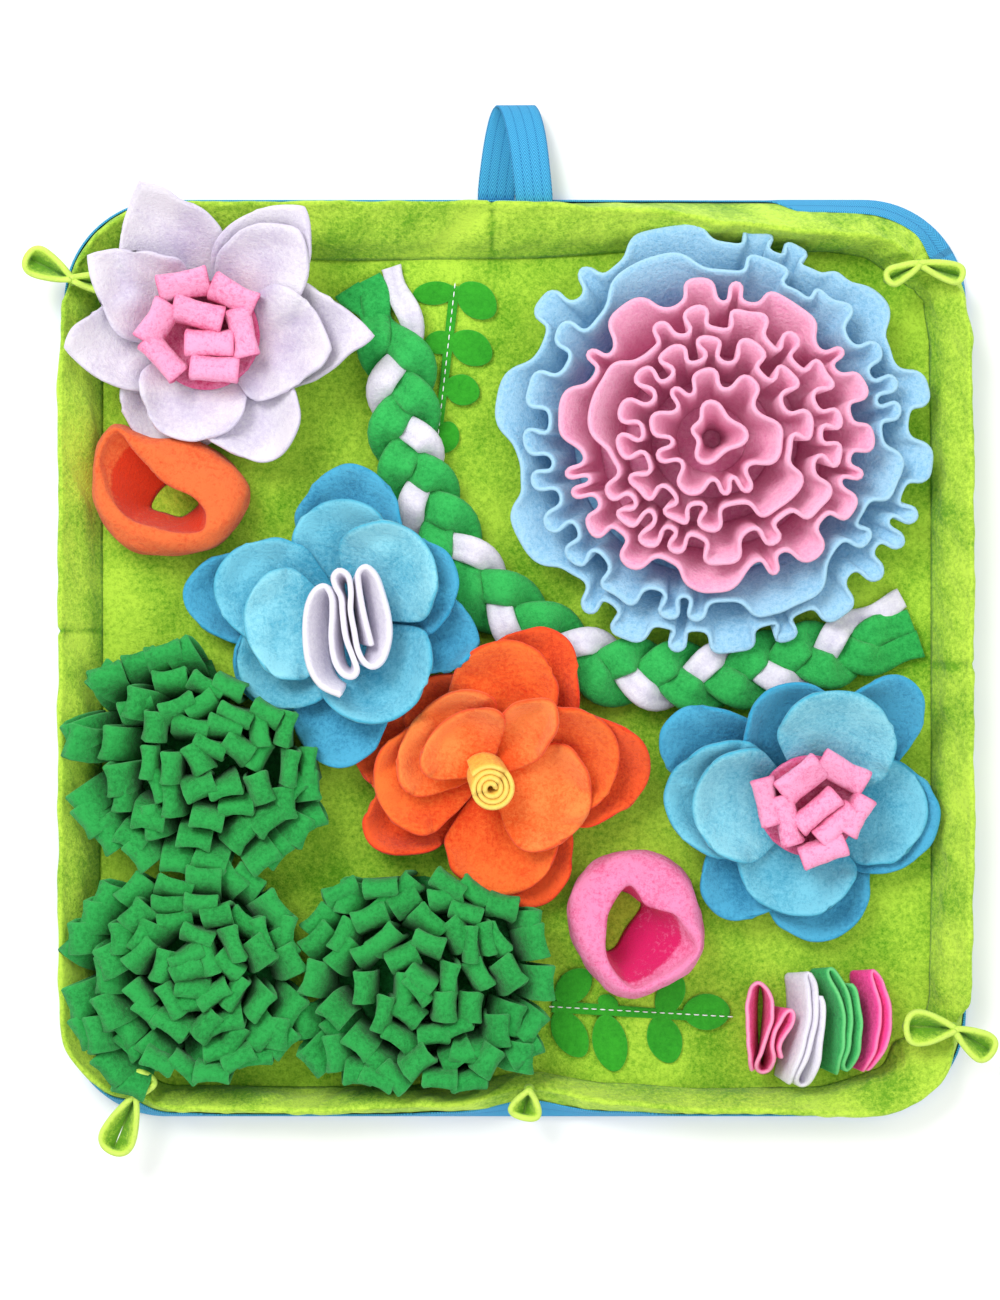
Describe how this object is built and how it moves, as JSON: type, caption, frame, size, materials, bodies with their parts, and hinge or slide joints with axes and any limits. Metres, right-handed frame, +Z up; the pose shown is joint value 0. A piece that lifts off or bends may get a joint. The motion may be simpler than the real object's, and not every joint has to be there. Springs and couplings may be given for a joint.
{
  "type": "snuffle mat",
  "caption": "Square fleece snuffle mat with a standing rim pinched into bows, and fleece flowers, tubes, tabs, a braid and grass loops sewn on it to hide dry food in.",
  "frame": {"origin": "middle of the base's underside, on the floor", "axes": "+Z up from the floor through the mat, +Y towards the side with the handle, +X to the right when seen from above with the handle at the top"},
  "size_m": [0.5245, 0.5711, 0.0541],
  "materials": {
    "green_fleece": "matt polar fleece",
    "grass_fleece": "matt polar fleece",
    "leaf_felt": "matt felt",
    "white_fleece": "matt polar fleece",
    "pink_fleece": "matt polar fleece",
    "hot_pink_fleece": "matt polar fleece",
    "blue_fleece": "matt polar fleece",
    "pale_blue_fleece": "matt polar fleece",
    "orange_fleece": "matt polar fleece",
    "yellow_fleece": "matt polar fleece",
    "blue_tape": "woven herringbone tape"
  },
  "bodies": {
    "root": {"base_panel": "green_fleece", "rim_top": "green_fleece", "rim_right": "green_fleece", "rim_bottom": "green_fleece", "rim_left": "green_fleece", "bow_top_left": "green_fleece", "bow_top_right": "green_fleece", "bow_bottom_right": "green_fleece", "bow_bottom_left": "green_fleece", "bow_bottom": "green_fleece", "edge_tape": "blue_tape", "handle_tape": "blue_tape", "braid_green_a": "grass_fleece", "braid_green_b": "grass_fleece", "braid_white": "white_fleece", "lotus_outer_petals": "white_fleece", "lotus_inner_petals": "white_fleece", "lotus_loops": "pink_fleece", "blue_left_outer_petals": "blue_fleece", "blue_left_middle_petals": "blue_fleece", "blue_left_inner_petals": "blue_fleece", "blue_left_ribbon": "white_fleece", "orange_outer_petals": "orange_fleece", "orange_middle_petals": "orange_fleece", "orange_inner_petals": "orange_fleece", "orange_roll": "yellow_fleece", "blue_right_outer_petals": "blue_fleece", "blue_right_middle_petals": "blue_fleece", "blue_right_inner_petals": "blue_fleece", "blue_right_loops": "pink_fleece", "ruffle_blue": "pale_blue_fleece", "ruffle_pink": "pink_fleece", "tube_orange": "orange_fleece", "tube_pink": "hot_pink_fleece", "tab_pink": "pink_fleece", "tab_white": "white_fleece", "tab_green": "grass_fleece", "tab_hot_pink": "hot_pink_fleece", "leaf_sprig_top": "leaf_felt", "leaf_sprig_bottom": "leaf_felt", "grass_upper_left": "grass_fleece", "grass_lower_left": "grass_fleece", "grass_lower_middle": "grass_fleece"}
  },
  "joints": []
}
